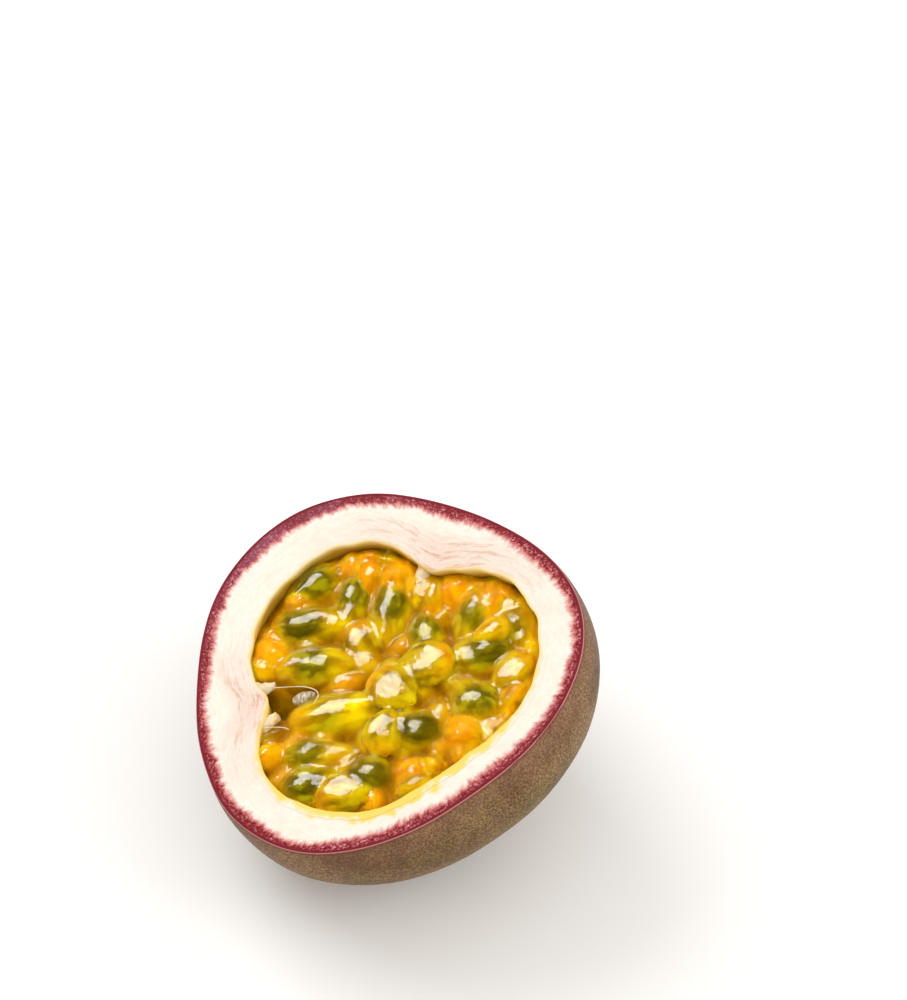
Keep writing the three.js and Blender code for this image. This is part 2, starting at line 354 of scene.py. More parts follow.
def mouth_radius(angle):
    """The cavity's radius at the cut, about the cavity's own centre."""
    return CAVITY_RADIUS * (1 + CAVITY_LOBE * np.cos(CARPELS * angle)) - ridge_height(angle)


def cut_share(below_widest):
    """The radius at the cut beside the widest one."""
    return math.sqrt(1 - (WIDEST_BELOW_CUT / below_widest) ** 2)


def wall_radius(angle, z):
    """The cavity's radius at any height."""
    down = np.clip((-z - WIDEST_BELOW_CUT) / CAVITY_BELOW_WIDEST, -1, 1)
    share = np.sqrt(1 - down**2) / cut_share(CAVITY_BELOW_WIDEST)
    shape = mouth_radius(angle) / CAVITY_RADIUS - 1
    return CAVITY_RADIUS * share * (1 + shape * fade(z, WIDEST_BELOW_CUT + CAVITY_BELOW_WIDEST))


# %% [markdown]
# The lathe work: one point is extruded step by step along the bowl's outline, from the blossom end up the
# skin, across the cut and down the cavity to its floor, and the chain is spun round the axis. The rim and
# the cavity's lip are then bevelled, because a knife leaves an edge a fraction of a millimetre round.

# %% The bowl's outline
FACE_STEPS = 30
RIM_BEVEL = 0.16
LIP_BEVEL = 0.4


def arc(radius, below_widest, steps):
    """Points from the pole up to the cut, as pairs of radius and height."""
    mouth = math.pi / 2 + math.asin(WIDEST_BELOW_CUT / below_widest)
    turns = [mouth * i / steps for i in range(steps + 1)]
    return [(radius * math.sin(t), -WIDEST_BELOW_CUT - below_widest * math.cos(t)) for t in turns]


# The widest radius of skin and cavity, and how far below it the pole is.
SKIN_ARC = (RIM_RADIUS / cut_share(DOME_BELOW_WIDEST), DOME_BELOW_WIDEST)
WALL_ARC = (CAVITY_RADIUS / cut_share(CAVITY_BELOW_WIDEST), CAVITY_BELOW_WIDEST)
# The face keeps clear of both rings, so that the bevels find room.
face_from = RIM_RADIUS - 2 * RIM_BEVEL
face_to = CAVITY_RADIUS + 2 * LIP_BEVEL
outline = arc(*SKIN_ARC, steps=60)
outline += [(face_from + (face_to - face_from) * i / FACE_STEPS, 0) for i in range(FACE_STEPS + 1)]
outline += arc(*WALL_ARC, steps=26)[::-1]
print("outline of", len(outline), "points")

# %% Extrude it from one point and spin it
def spun(name, chain, steps):
    """A turned body: a chain of (radius, height) in millimetres, extruded from one point and spun."""
    bpy.ops.mesh.primitive_plane_add(size=2 * MM)
    body = bpy.context.object
    body.name = body.data.name = name
    bpy.ops.object.mode_set(mode="EDIT")
    bpy.ops.mesh.select_all(action="SELECT")
    bpy.ops.mesh.merge(type="CENTER")
    bpy.ops.transform.translate(value=(chain[0][0] * MM, 0, chain[0][1] * MM))
    for (r0, z0), (r1, z1) in zip(chain, chain[1:]):
        step = ((r1 - r0) * MM, 0, (z1 - z0) * MM)
        bpy.ops.mesh.extrude_region_move(TRANSFORM_OT_translate={"value": step})
    bpy.ops.mesh.select_all(action="SELECT")
    bpy.ops.mesh.spin(steps=steps, angle=2 * math.pi, center=(0, 0, 0), axis=(0, 0, 1))
    bpy.ops.mesh.select_all(action="SELECT")
    bpy.ops.mesh.remove_doubles(threshold=0.001 * MM)
    bpy.ops.mesh.normals_make_consistent()
    bpy.ops.object.mode_set(mode="OBJECT")
    return body


rind = spun("rind_bowl", outline, steps=216)
print("rind:", len(rind.data.polygons), "faces")

# %% Round the rim and the lip
NEAR = 0.01


def bevel_ring(piece, radius, width, segments):
    """Rounds the ring of edges that lies in the cut at that radius."""
    only(piece)
    bpy.ops.object.mode_set(mode="EDIT")
    bpy.ops.mesh.select_all(action="DESELECT")
    mesh = bmesh.from_edit_mesh(piece.data)
    for edge in mesh.edges:
        ends = [v.co / MM for v in edge.verts]
        edge.select = all(abs(p.z) < NEAR and abs(math.hypot(p.x, p.y) - radius) < NEAR for p in ends)
    bmesh.update_edit_mesh(piece.data)
    bpy.ops.mesh.bevel(offset=width * MM, segments=segments)
    bpy.ops.object.mode_set(mode="OBJECT")


bevel_ring(rind, RIM_RADIUS, RIM_BEVEL, 3)
bevel_ring(rind, CAVITY_RADIUS, LIP_BEVEL, 4)

# %% [markdown]
# Each point has a share: 0 on the cavity's wall, 1 on the skin, and between the two on the cut. It moves to
# the same share of the way between the shaped wall and the shaped skin, so one line serves the whole bowl.
# How deep it lies under the skin is stored, as the purple edge follows it.

# %% Pull out the corners, push in the ridges
# How wide the swells are, the noise's seed, and how deep they go.
RIM_WOBBLE = (11, 1, 0.22)
CUT_WOBBLE = (5, 2, 0.12)
LIP_WOBBLE = (3.2, 4, 0.5)
LIP_WOBBLE_FADE = 8


def round_radius(z, at_widest, below_widest):
    """Radius of the unshaped skin or cavity at that height."""
    return at_widest * np.sqrt(np.clip(1 - ((z + WIDEST_BELOW_CUT) / below_widest) ** 2, 0, 1))


place = points_of(rind)
angle, radius = polar(place)
height = place[:, 2]
skin_here = round_radius(height, *SKIN_ARC)
wall_here = round_radius(height, *WALL_ARC)
share = np.where(skin_here < NEAR, 1, (radius - wall_here) / np.maximum(skin_here - wall_here, NEAR))

outward = np.column_stack((np.cos(angle), np.sin(angle)))
skin_out = skin_here * skin_share(angle, height)
skin_out += wobble(np.column_stack((outward * skin_out[:, None], height)), *RIM_WOBBLE)
skin_place = outward * skin_out[:, None]
wall_out = wall_radius(angle, height)
on_wall = np.column_stack((outward * wall_out[:, None], height))
wall_out += wobble(on_wall, *LIP_WOBBLE) * fade(height, LIP_WOBBLE_FADE)
wall_place = CAVITY_CENTRE + outward * wall_out[:, None]
moved = wall_place + (skin_place - wall_place) * share[:, None]

scar = SCAR_DEPTH * np.exp(-((radius / SCAR_RADIUS) ** 2)) * (height < SCAR_UNDER)
on_cut = (height > -NEAR) & (share > 0) & (share < 1)
uneven = wobble(np.column_stack((moved, height)), *CUT_WOBBLE) * on_cut
move_points(rind, np.column_stack((moved, height + scar + uneven)))

pith_width = np.linalg.norm(skin_place - wall_place, axis=1)
under_skin = (1 - share) * pith_width
remember(rind, "under_skin", under_skin)
remember(rind, "from_wall", share * pith_width)
remember(rind, "height", height)
at_mouth = pith_width[on_cut & (share < 0.2)]
print("pith at the cut is", at_mouth.min().round(1), "to", at_mouth.max().round(1), "mm thick")

# %% Remember how the fibres of the cut run, and where it differs
FIBRE_RADIUS = 25
# The clock angle and the spread of each place: ridge fibres, juice on the pith, a broad pale edge and
# the skin that hung in the sun.
REGIONS = {
    "ridge": [(62, 34), (188, 20)],
    "juicy": [(278, 48)],
    "broad": [(118, 30)],
    "sunny": [(92, 75)],
}
# Round the cut, then outwards from the wall, then up: fibres and streaks follow this place.
round_x, round_z = FIBRE_RADIUS * np.cos(angle), FIBRE_RADIUS * np.sin(angle) + height
remember(rind, "turn", np.column_stack((round_x, share * pith_width, round_z)))
for name, spots in REGIONS.items():
    remember(rind, name, sum(nearness(angle, *spot) for spot in spots))

# %% [markdown]
# ## Torn stalks
#
# Each juice sac hung from a ridge by a short white stalk, and a few are still there, torn off at the cut.
# One is modelled from a small cone, thickened at its root, and copied with a turn and a stretch of its own.

# %% A repeatable draw
def draw(index, purpose):
    """A number from -1 to 1, the same on every run."""
    wave = math.sin(index * 127.1 + purpose * 311.7) * 43758.5453
    return 2 * (wave - math.floor(wave)) - 1


# %% Stalks on the ridges
# The clock angle, how thick and long it is beside STALK's size, and how far below the cut its top lies.
STALKS = [(71, 1.1, 0.7), (94, 0.6, 2.6), (178, 0.9, 0.3), (196, 1.1, 0.3), (208, 0.75, 0.4)]
STALK = {"length": 4.8, "radius": 1.7, "lift": 0.55, "sunk": 2.8}
# How deep its bends and its ragged tears are.
STALK_BEND = 0.9
STALK_TEAR = 0.45


def jostled(points, size, seeds, depth):
    """The points moved by soft noise, with a seed for each axis."""
    return points + np.column_stack([wobble(points, size, seed, depth) for seed in seeds])


stalk_parts = []
for index, (clock, share, below) in enumerate(STALKS):
    at = math.radians(clock)
    thick = STALK["radius"] * share
    tip = 0.4 * thick
    reach = STALK["length"] * (0.5 + 0.5 * share)
    bpy.ops.mesh.primitive_cone_add(
        vertices=20, radius1=thick * MM, radius2=tip * MM, depth=reach * MM, end_fill_type="TRIFAN"
    )
    horn = bpy.context.object
    bpy.ops.object.mode_set(mode="EDIT")
    bpy.ops.mesh.select_all(action="SELECT")
    bpy.ops.mesh.subdivide(number_cuts=5)
    bpy.ops.object.mode_set(mode="OBJECT")
    points = points_of(horn)
    along = points[:, 2] / reach + 0.5
    points[:, 0] += wobble(points * 0.5 + index * 7, 2.2, 3 + index, STALK_BEND) * along
    points[:, 1] += wobble(points * 0.5 + index * 9, 2.2, 8 + index, STALK_BEND) * along
    points = jostled(points, 0.8, range(20 + index, 23 + index), STALK_TEAR)
    # The cone tapers, and the lift keeps its upper side level.
    points[:, 0] += STALK["lift"] * thick * along
    # Its axis turns from +z to the hollow, and its root sinks into the wall.
    inward = turned(clock, "Z") @ turned(-90, "Y")
    root = mouth_radius(np.array([at]))[0] + STALK["sunk"] * share - reach / 2
    centre = Vector((*CAVITY_CENTRE, 0)) + Vector((root * math.cos(at), root * math.sin(at), 0))
    centre.z = -thick - below
    points = carried(points, Matrix.Translation(centre) @ inward)
    # The knife cut off whatever stood above.
    points[:, 2] = points[:, 2].clip(None, -below)
    move_points(horn, points)
    stalk_parts.append(horn)


# %% Melt them together
def joined(name, parts):
    only(parts[0])
    for part in parts:
        part.select_set(True)
    bpy.ops.object.join()
    parts[0].name = parts[0].data.name = name
    return parts[0]


def merged_skin(piece, voxel, smoothing):
    """Melts overlapping parts into one closed surface and softens the creases between them."""
    only(piece)
    piece.data.remesh_voxel_size = voxel * MM
    bpy.ops.object.voxel_remesh()
    bpy.ops.object.modifier_add(type="SMOOTH")
    piece.modifiers[-1].factor = 0.5
    piece.modifiers[-1].iterations = smoothing
    bpy.ops.object.modifier_apply(modifier=piece.modifiers[-1].name)
    bpy.ops.object.shade_smooth()


stalks = joined("torn_stalks", stalk_parts)
merged_skin(stalks, voxel=0.2, smoothing=6)
print("stalks:", len(stalks.data.polygons), "faces")

# %% [markdown]
# A stalk that tore lengthwise leaves a pale thread. It is a curve through a few points with a round
# section, made a mesh and joined to the stalks.

# %% Torn threads
THREAD_THICKNESS = 0.18
THREADS = [
    [
        (-18.6, -0.4, -0.6), (-15.6, -0.7, -0.8), (-12.4, -1.1, -0.5),
        (-9.6, -2.0, -0.3), (-8.6, -3.5, -0.2), (-9.8, -4.6, -0.4),
    ],
    [(-18.0, -7.2, -0.5), (-16.0, -7.9, -0.1), (-14.6, -7.5, -0.3), (-13.6, -8.3, -0.6)],
    [(5.6, 17.6, -0.3), (6.6, 15.8, 0.0), (8.2, 15.3, -0.1), (9.2, 16.0, -0.5)],
]
threads = []
for stations in THREADS:
    bpy.ops.curve.primitive_nurbs_path_add()
    strand = bpy.context.object
    strand.data.splines.clear()
    spline = strand.data.splines.new("NURBS")
    spline.points.add(len(stations) - 1)
    for point, (x, y, z) in zip(spline.points, stations):
        point.co = (x * MM, y * MM, z * MM, 1)
    spline.use_endpoint_u = True
    spline.order_u = 4
    strand.data.resolution_u = 8
    strand.data.bevel_depth = THREAD_THICKNESS / 2 * MM
    strand.data.bevel_resolution = 2
    strand.data.use_fill_caps = True
    only(strand)
    bpy.ops.object.convert(target="MESH")
    threads.append(bpy.context.object)
stalks = joined("torn_stalks", [stalks] + threads)
bpy.ops.object.shade_smooth()

# %% [markdown]
# ## The pulp's layout
#
# The sacs at the cut are placed one by one, each by where its seed is, where it points and how long it is.
# Nature never lines them up, and no rule would either. Pitch and roll then vary by a repeatable draw. Some
# sacs at the wall are only swollen orange roots, and a few clear ones are empty and have sunk flat.

# %% Where every sac lies, in millimetres and degrees
# A full sac's length, width and height.
SAC_SIZE = np.array((15.2, 9.0, 6.2))
SEED_ALONG_SAC = 0.4
PULP_TOP = -0.5
PULP_SLUMP = 0.6
LOW_SIDE = math.radians(230)
# The seed's x and y, the heading from stalk to tip, the length and width beside SAC_SIZE, how far it stands
# proud, how orange it is, and how deep under the surface its seed lies: None for no seed.
SACS_AT_CUT = [
    (-10.7, 17.6, 211, 0.82, 0.9, -0.1, 0.1, 1.0),
    (-4.8, 14.3, 262, 0.82, 0.85, -0.1, 0.15, 1.3),
    (-1.4, 17.2, 262, 0.55, 0.66, 0.1, 1.0, None),
    (1.8, 11.3, 265, 1.15, 0.9, 0.1, 0.2, 1.15),
    (2.4, 16.4, 268, 0.55, 0.78, 0.2, 0.8, None),
    (7.6, 12.6, 268, 0.65, 0.7, -0.3, 1.0, None),
    (7.1, 5.9, 266, 0.8, 0.8, -0.3, 0.35, 1.3),
    (10.9, 12.8, 285, 0.65, 0.85, -0.1, 1.0, None),
    (14.0, 7.1, 258, 1.0, 0.92, 0.1, 0.6, 1.3),
    (17.3, 9.6, 265, 0.72, 0.82, 0.0, 0.9, None),
    (21.1, 4.9, 288, 0.85, 0.8, -0.2, 0.5, 1.4),
    (18.0, 3.6, 200, 0.4, 0.5, 0.9, 0.3, None),
    (16.7, 0.5, 181, 0.85, 0.92, 0.2, 0.15, 0.55),
    (20.8, -3.2, 215, 0.5, 0.7, 0.1, 0.2, None),
    (20.2, -7.5, 232, 0.65, 0.8, -0.1, 0.6, None),
    (15.1, -7.5, 137, 0.9, 0.92, 0.3, 0.3, 1.0),
    (13.4, -13.4, 152, 0.65, 0.9, 0.0, 1.0, None),
    (6.5, -11.0, 153, 0.75, 0.95, 0.4, 0.15, 0.35),
    (8.1, -0.3, 177, 0.6, 0.85, 0.5, 0.0, None),
    (1.4, -3.0, 319, 0.62, 0.85, 0.4, 0.0, None),
    (0.7, -11.7, 74, 0.5, 0.75, 0.5, 0.0, None),
    (-12.4, 10.2, 355, 1.05, 0.85, 0.0, 0.1, 0.6),
    (-17.6, 6.6, 318, 0.55, 0.72, 0.0, 1.0, None),
    (-10.8, 3.2, 352, 1.22, 0.95, 0.2, 0.25, 1.0),
    (-2.4, 6.2, 300, 0.55, 0.8, -0.5, 0.1, None),
    (-8.6, -6.6, 1, 1.2, 0.98, 0.2, 0.1, 1.9),
    (-11.3, -12.1, 350, 1.1, 0.78, -0.2, 0.45, 1.15),
    (-17.1, -11.9, 355, 0.42, 0.72, 0.0, 1.0, None),
    (-11.2, -17.6, 10, 0.82, 0.9, 0.1, 0.0, 0.9),
    (-6.0, -20.2, 359, 0.6, 0.75, 0.2, 0.0, None),
    (-1.4, -17.4, 174, 0.75, 0.82, 0.1, 0.3, 0.5),
    (5.0, -18.0, 176, 0.6, 0.75, -0.1, 1.0, None),
    (6.2, -20.8, 190, 0.4, 0.4, 0.2, 0.4, None),
    (8.6, -17.4, 160, 0.35, 0.5, 0.4, 0.5, None),
]

# %% Orange knobs along the wall, where sacs below the cut are rooted
WALL_ROOTS = 19
FROM_WALL = 2.2
# Between these clock angles the wall lies bare.
BARE_WALL = (176, 206)
wall_roots = []
for i in range(WALL_ROOTS):
    clock = 360 / WALL_ROOTS * (i + 0.35 * draw(i, 21))
    if BARE_WALL[0] < clock < BARE_WALL[1]:
        continue
    at = math.radians(clock)
    reach = mouth_radius(np.array([at]))[0] - FROM_WALL
    x = CAVITY_CENTRE[0] + reach * math.cos(at)
    y = CAVITY_CENTRE[1] + reach * math.sin(at)
    heading = clock + 180 + 25 * draw(i, 25)
    length = 0.52 + 0.12 * draw(i, 22)
    width = 0.7 + 0.14 * draw(i, 23)
    lift = -0.5 + 0.25 * draw(i, 26)
    orange = min(1, 0.75 + 0.45 * draw(i, 24))
    wall_roots.append((x, y, heading, length, width, lift, orange, None))
print(len(wall_roots), "knobs along the wall")

# %% One dictionary for each sac
# How far sacs are pitched and rolled, and their seeds turned, in degrees.
PITCH = 6
ROLL = 8
SEED_TURN = 12
EMPTY_SAC_HEIGHT = 0.38
# How far under the gel's the top of a sac's flesh lies.
FLESH_UNDER = {"seeded": 0.8, "seedless": 0.4, "buried": 0.5}


def slumped(x, y, mean):
    """Height of the pulp's surface there: it has slid towards the low side."""
    away = x * math.cos(LOW_SIDE) + y * math.sin(LOW_SIDE)
    return mean + PULP_SLUMP * away / CAVITY_RADIUS


def new_sac(x, y, top, turn, size, **facts):
    """The matrix that places a sac, its size beside SAC_SIZE, and whatever else is known of it."""
    place = Matrix.Translation((x, y, slumped(x, y, top)))
    return {"matrix": place @ turn, "size": SAC_SIZE * size, **facts}


layout = []
for i, row in enumerate(SACS_AT_CUT + wall_roots):
    x, y, heading, length, width, lift, orange, seed_under = row
    turn = turned(heading, "Z") @ turned(PITCH * draw(i, 5), "Y") @ turned(ROLL * draw(i, 6), "X")
    kind = "seedless" if seed_under is None else "seeded"
    empty = kind == "seedless" and orange < 0.5
    size = (length, width, EMPTY_SAC_HEIGHT if empty else 1)
    sac = new_sac(x, y, PULP_TOP + lift, turn, size, kind=kind, orange=orange, empty=empty)
    sac["seed_under"] = seed_under
    sac["seed_place"] = sac["matrix"] @ turned(SEED_TURN * draw(i, 8), "Z")
    layout.append(sac)
seeded = [sac for sac in layout if sac["kind"] == "seeded"]
print(len(layout), "sacs at the cut,", len(seeded), "of them with a seed")

# %% [markdown]
# ## One sac
#
# A sac is a drop lying on its side: blunt where the stalk was, fat round the seed and drawn out to a soft
# tip. A UV sphere has its rings where a drop needs them, close together at both ends.

# %% Model the drop once
# Below 1, the first puts the widest place nearer to the root and the second makes both ends fuller.
ROOTWARDS = 0.8
FULLNESS = 0.65


def ball(segments, rings):
    """A ball one millimetre across whose poles lie on x."""
    bpy.ops.mesh.primitive_uv_sphere_add(
        segments=segments, ring_count=rings, radius=0.5 * MM, rotation=(0, math.pi / 2, 0)
    )
    bpy.ops.object.transform_apply()
    return bpy.context.object


# A drop one millimetre long and wide, lying along x from its root at 0 to its tip at 1.
pattern_drop = ball(32, 24)
pattern_drop.name = "pattern_drop"
points = points_of(pattern_drop)
along = np.clip(points[:, 0] + 0.5, 0, 1)
swell = np.sin(np.pi * along**ROOTWARDS).clip(0) ** FULLNESS
round_here = np.maximum(np.hypot(points[:, 1], points[:, 2]), 1e-6)
points[:, 1:] *= (0.5 * swell / round_here)[:, None]
points[:, 0] = along
move_points(pattern_drop, points)
print("drop:", len(pattern_drop.data.vertices), "points")


# %% Copy it to a sac's place
def lumpy(points, index, lumps):
    """Moves the points by soft noise. Each lump is how wide and how deep it is, and its seed."""
    for size, depth, seed in lumps:
        points = jostled(points, size, [seed + 31 * index + k for k in (0, 7, 13)], depth)
    return points


def sac_copy(sac, index, girth, lowered, lumps):
    """A copy of the drop at the sac's place. girth says how full it is at each share of its length."""
    only(pattern_drop)
    bpy.ops.object.duplicate()
    body = bpy.context.object
    points = points_of(body)
    points[:, 1:] *= girth(points[:, 0])[:, None]
    points[:, 0] -= SEED_ALONG_SAC
    points *= sac["size"]
    points[:, 2] -= sac["size"][2] / 2 + lowered
    move_points(body, carried(lumpy(points, index, lumps), sac["matrix"]))
    return body


# %% [markdown]
# ## Seeds
#
# A seed is a flat pointed oval, hard and pitted. One of them has lost its gel and dried at the left wall:
# it lies bare, and its pale ribs show.

# %% Seeds
# Length, width and height.
SEED_SIZE = np.array((5.3, 3.7, 2.8))
SEED_TAPER = 0.35
BARE_SEED = (-11.7, -2.7, -0.9)
BARE_SEED_REACH = 3.4


def seed_copy(matrix, grow, under):
    """A seed, or the swelling of the gel over it. under is how deep its top lies."""
    body = ball(28, 18)
    points = points_of(body)
    points[:, 1] *= 1 - SEED_TAPER * np.clip(points[:, 0] + 0.1, 0, 1)
    size = SEED_SIZE + grow
    points *= size
    points[:, 2] -= size[2] / 2 + under
    move_points(body, carried(points, matrix))
    return body


bare_place = Matrix.Translation(BARE_SEED) @ turned(10, "Z")
seed_parts = [seed_copy(bare_place, grow=-1.5, under=0)]
seed_parts += [seed_copy(sac["seed_place"], grow=0, under=sac["seed_under"]) for sac in seeded]
seeds = joined("seeds", seed_parts)
bpy.ops.object.shade_smooth()
remember(seeds, "bare", np.linalg.norm(points_of(seeds) - BARE_SEED, axis=1) < BARE_SEED_REACH)
print("seeds:", len(seeds.data.polygons), "faces")

# %% [markdown]
# ## Gel and flesh
#
# The clear gel is one skin over all the sacs: wet sacs touch along soft creases, not sharp ones. So the
# drops are melted together by a voxel remesh and smoothed. Under it lies the cloudy flesh, made the same
# way from slimmer, deeper drops, thick at the roots. The seeds sit half in the flesh and half in the gel.

# %% Keep inside the cavity
def kept_inside(piece, margin):
    """Draws in any point that reaches into the wall."""
    points = points_of(piece)
    side = points[:, :2] - CAVITY_CENTRE
    angle, reach = polar(side)
    limit = wall_radius(angle, np.minimum(points[:, 2], 0)) - margin
    points[:, :2] = CAVITY_CENTRE + side * np.minimum(1, limit / np.maximum(reach, 1e-6))[:, None]
    move_points(piece, points)


# %% [markdown]
# Between the sacs at the cut the tops of deeper ones show, smaller and each with a colour of its own. They
# are spread like the seeds of a sunflower: each lies one golden angle further round and a little further
# out than the last, so no two line up.

# %% Deeper sacs
BURIED_SACS = 55
BURIED_SIZE = (0.75, 0.75, 1)
BURIED_TOP = -1.5
BURIED_REACH = 0.97 * CAVITY_RADIUS
BURIED_TURN = math.degrees(0.6)
GOLDEN_ANGLE = 137.508
buried = []
for i in range(BURIED_SACS):
    reach = BURIED_REACH * math.sqrt((i + 0.5) / BURIED_SACS)
    at = math.radians(GOLDEN_ANGLE * i)
    x, y = reach * math.cos(at), reach * math.sin(at)
    # The hollow round the bare seed stays open.
    if x < -10 and abs(y + 3) < 4:
        continue
    turn = turned(GOLDEN_ANGLE * i + 180 + BURIED_TURN * draw(i, 9), "Z")
    orange = max(0.0, 0.4 + 0.7 * draw(i, 10))
    buried.append(new_sac(x, y, BURIED_TOP, turn, BURIED_SIZE, kind="buried", orange=orange, empty=False))
print(len(buried), "deeper sacs")

# %% [markdown]
# Below those the pulp is one heap, turned on the lathe like the rind: a shallow dish whose collar lines
# the wall, since flesh clings there even where no sac shows. At the back and at the left ridge the collar
# has slid down. Flesh and gel both get a heap, and the gel's lies a little higher, as a film of juice.

# %% The heap
HEAP_TOP = -4.2
COLLAR_TOP = -1.9
# The dish from its collar to its middle: shares of the cavity's radius, and heights.
DISH = [(0.93, COLLAR_TOP), (0.86, -3.0), (0.76, HEAP_TOP), (0, HEAP_TOP)]
# Where the collar has slid down: the clock angle, how far to each side, and by how much.
COLLAR_SLID = [(124, 24, 0.4), (190, 14, 2.4)]
COLLAR_WOBBLE = (2.6, 40, 0.8)
HEAP_WOBBLE = (2.2, 43, 0.5)


def heap_body(bottom, raised):
    """The dish of pulp from that height up, its top raised so much."""
    chain = [(r, z) for r, z in arc(*WALL_ARC, steps=40) if bottom < z < COLLAR_TOP]
    if bottom > -CAVITY_BELOW_WIDEST:
        chain = [(0, bottom), (0.5 * CAVITY_RADIUS, bottom)] + chain
    chain += [(share * CAVITY_RADIUS, height + raised) for share, height in DISH]
    body = spun("heap", chain, steps=120)
    points = points_of(body)
    angle, reach = polar(points)
    height = points[:, 2]
    reach *= wall_radius(angle, height) / round_radius(height, *WALL_ARC).clip(1)
    on_collar = np.clip((height - HEAP_TOP) / (COLLAR_TOP - HEAP_TOP), 0, 1)
    for clock, spread, down in COLLAR_SLID:
        points[:, 2] -= down * nearness(angle, clock, spread) * on_collar
    points[:, 2] += on_collar * wobble(points, *COLLAR_WOBBLE)
    points[:, 2] += (points[:, 2] > HEAP_TOP - 0.5) * wobble(points, *HEAP_WOBBLE)
    points[:, :2] = CAVITY_CENTRE + np.column_stack((reach * np.cos(angle), reach * np.sin(angle)))
    move_points(body, points)
    return body


# %% Gel
GEL_LUMPS = [(3.6, 0.5, 100), (1.5, 0.1, 300)]
EMPTY_LUMPS = [(3.6, 0.2, 100)]
# The gel swells over each seed, by this much all round and above.
SWELLING = 1.8
SWELLING_ABOVE = 0.12
# The film of juice over the heap: its underside, and how far it lies above the flesh.
FILM_BOTTOM = -7.0
FILM_ABOVE = 0.4

gel_parts = []
for i, sac in enumerate(layout + buried):
    lumps = EMPTY_LUMPS if sac["empty"] else GEL_LUMPS
    gel_parts.append(sac_copy(sac, i, np.ones_like, 0, lumps))
gel_parts.append(heap_body(FILM_BOTTOM, FILM_ABOVE))
gel_parts += [seed_copy(sac["seed_place"], SWELLING, -SWELLING_ABOVE) for sac in seeded]
gel = joined("gel", gel_parts)
merged_skin(gel, voxel=0.34, smoothing=4)
kept_inside(gel, margin=-0.1)
print("gel:", len(gel.data.polygons), "faces")

# %% Flesh
FLESH_LUMPS = [(2.8, 0.4, 500), (1.2, 0.1, 700)]
FLESH_GIRTH = 0.94


def seedless_girth(along):
    return np.full_like(along, FLESH_GIRTH)


def seeded_girth(along):
    """Full at the root, slimmer round the seed and nearly full again at the tip."""
    return FLESH_GIRTH - 0.14 * np.exp(-(((along - 0.45) / 0.25) ** 2)) - 0.06 * along


flesh_parts = [heap_body(-math.inf, 0)]
for i, sac in enumerate(layout + buried):
    girth = seeded_girth if sac["kind"] == "seeded" else seedless_girth
    flesh_parts.append(sac_copy(sac, i, girth, FLESH_UNDER[sac["kind"]], FLESH_LUMPS))
flesh = joined("flesh", flesh_parts)
merged_skin(flesh, voxel=0.4, smoothing=2)
kept_inside(flesh, margin=0)
bpy.data.objects.remove(pattern_drop)
print("flesh:", len(flesh.data.polygons), "faces")

# %% [markdown]
# A seed shows through the flesh over it as a soft dark cloud, which light makes by wandering about in the
# pulp. That takes long to trace, so each point of the flesh and of the gel is told how near the closest
# seed is instead.

# %% How near a seed is
SEED_CLOUD = 0.85


def remember_seeds(piece):
    """Stores 1 where a point touches a seed, falling off over SEED_CLOUD millimetres."""
    points = points_of(piece)
    shade_here = np.zeros(len(points))
    half = SEED_SIZE / 2
    for sac in seeded:
        middle = Matrix.Translation((0, 0, -sac["seed_under"] - half[2]))
        local = carried(points, (sac["seed_place"] @ middle).inverted())
        gap = (np.linalg.norm(local / half, axis=1) - 1) * half.mean()
        shade_here = np.maximum(shade_here, np.exp(-((gap.clip(0) / SEED_CLOUD) ** 2)))
    remember(piece, "seed_shade", shade_here)


# %% Each point's own sac
EMPTY_DIM = 0.9
# From one sac's noise to the next one's, in millimetres.
NOISE_STEP = 20


def remember_sacs(piece):
    """Stores each point's place in its own sac, how orange and dim that is, and how deep the point lies."""
    points = points_of(piece)
    nearest = np.full(len(points), np.inf)
    told = {name: np.zeros(len(points)) for name in ("along", "orange", "dim")}
    told["in_sac"] = np.zeros_like(points)
    for i, sac in enumerate(layout + buried):
        local = carried(points, sac["matrix"].inverted())
        half = sac["size"] / 2
        distance = np.linalg.norm(local / half - (1 - 2 * SEED_ALONG_SAC, 0, -1), axis=1)
        closer = distance < nearest
        nearest[closer] = distance[closer]
        told["along"][closer] = local[closer, 0] / sac["size"][0] + SEED_ALONG_SAC
        told["orange"][closer] = sac["orange"]
        told["dim"][closer] = EMPTY_DIM if sac["empty"] else 0.25 + 0.25 * draw(i, 12)
        told["in_sac"][closer] = local[closer] + NOISE_STEP * i
    for name, values in told.items():
        remember(piece, name, values)
    remember(piece, "deep", slumped(points[:, 0], points[:, 1], PULP_TOP) - points[:, 2])


for piece in (gel, flesh):
    remember_seeds(piece)
    remember_sacs(piece)

# %% [markdown]
# ## Finishes
#
# The skin is leathery and finely flecked. The cut shows the skin's purple edge, ragged where it bleeds
# into the pith, and the pith itself, cream and dry like damp cardboard.

